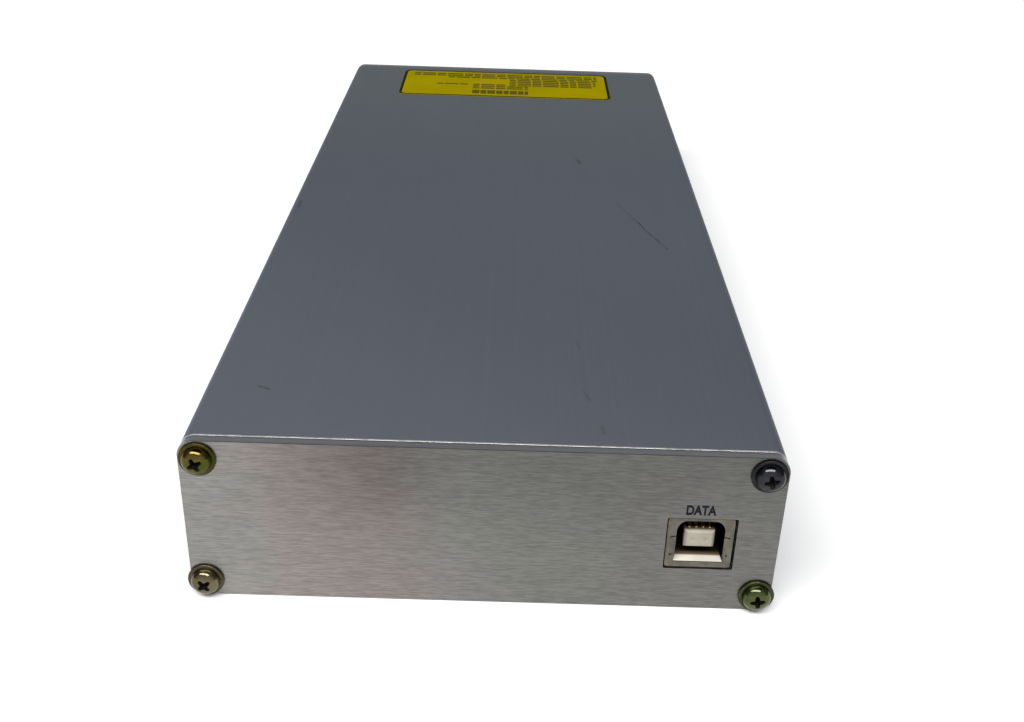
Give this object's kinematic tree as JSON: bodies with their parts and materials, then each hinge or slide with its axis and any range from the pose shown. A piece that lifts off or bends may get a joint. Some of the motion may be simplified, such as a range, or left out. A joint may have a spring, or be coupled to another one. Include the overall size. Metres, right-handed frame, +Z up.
{
  "type": "lidar scanner module",
  "caption": "Flat aluminium lidar module: split extruded housing, screwed end plates with a USB port and a window, and a spinning four-sided mirror with laser and receiver inside.",
  "frame": {"origin": "centre of the underside, midway between the two rows of screw heads", "axes": "+X right when looking at the USB end plate from outside, +Y from the USB end to the window end, +Z up from the underside"},
  "size_m": [0.1072, 0.2548, 0.0332],
  "materials": {
    "anodised_shell": "satin clear-anodised extrusion, blue-grey",
    "brushed_plate": "horizontally brushed bare aluminium",
    "machined_aluminium": "fine machined aluminium",
    "gold_zinc": "yellow-passivated zinc plate, olive gold",
    "bronze_zinc": "yellow-passivated zinc plate, brownish gold",
    "green_zinc": "yellow-passivated zinc plate, greenish",
    "dark_steel": "dark bright steel",
    "usb_steel": "tin-plated drawn steel",
    "cream_plastic": "moulded cream plastic, satin",
    "gold_contact": "gold-plated spring contact",
    "label_yellow": "printed yellow vinyl with a black border",
    "window_glass": "dark infrared-pass pane",
    "gasket_rubber": "matt black rubber",
    "black_plastic": "matt black moulded plastic",
    "circuit_board": "green solder mask on glass-fibre board",
    "stator_steel": "laminated core, varnished copper colour",
    "bearing_bronze": "sintered bronze",
    "magnet_ferrite": "ferrite ring",
    "front_mirror": "polished front-surface mirror",
    "lens_glass": "coated clear lens",
    "white_plastic": "off-white moulded plastic and flat cable"
  },
  "bodies": {
    "housing": {"upper_shell": "anodised_shell", "lower_shell": "anodised_shell", "rear_end_plate": "brushed_plate", "front_end_plate": "brushed_plate", "info_label": "label_yellow", "window_glass": "window_glass", "window_gasket": "gasket_rubber", "window_frame": "machined_aluminium", "usb_shell": "usb_steel", "usb_insulator": "cream_plastic", "main_board": "circuit_board", "processor": "black_plastic", "power_capacitor": "machined_aluminium", "motor_socket": "white_plastic", "detector_socket": "white_plastic", "motor_cable": "white_plastic", "detector_cable": "white_plastic", "optics_bench": "machined_aluminium", "motor_base": "circuit_board", "bearing_bush": "bearing_bronze", "stator_core": "stator_steel", "fold_mirror": "front_mirror", "fold_mirror_bracket": "machined_aluminium", "optics_block": "machined_aluminium", "laser_barrel": "bearing_bronze", "laser_diode": "gold_contact", "collimator_lens": "lens_glass", "receiver_tube": "black_plastic", "receiver_lens": "lens_glass", "detector_board": "circuit_board", "detector": "dark_steel", "usb_contact_1": "gold_contact", "bench_screw_1": "dark_steel", "rear_screw_1": "gold_zinc", "rear_washer_1": "gold_zinc", "front_screw_1": "gold_zinc", "front_washer_1": "gold_zinc", "usb_contact_2": "gold_contact", "bench_screw_2": "dark_steel", "rear_screw_2": "dark_steel", "rear_washer_2": "dark_steel", "front_screw_2": "dark_steel", "front_washer_2": "dark_steel", "usb_contact_3": "gold_contact", "bench_screw_3": "dark_steel", "rear_screw_3": "bronze_zinc", "rear_washer_3": "bronze_zinc", "front_screw_3": "bronze_zinc", "front_washer_3": "bronze_zinc", "usb_contact_4": "gold_contact", "bench_screw_4": "dark_steel", "rear_screw_4": "green_zinc", "rear_washer_4": "green_zinc", "front_screw_4": "green_zinc", "front_washer_4": "green_zinc"},
    "rotor": {"rotor_shaft": "dark_steel", "rotor_hub": "machined_aluminium", "rotor_magnet": "magnet_ferrite", "mirror_clip": "dark_steel", "polygon_mirror": "front_mirror"}
  },
  "joints": [
    {"name": "mirror_spin", "type": "hinge", "parent": "housing", "child": "rotor", "pos_m": [0.006, 0.091, 0.02], "axis": [0, 0, 1], "continuous": true}
  ]
}
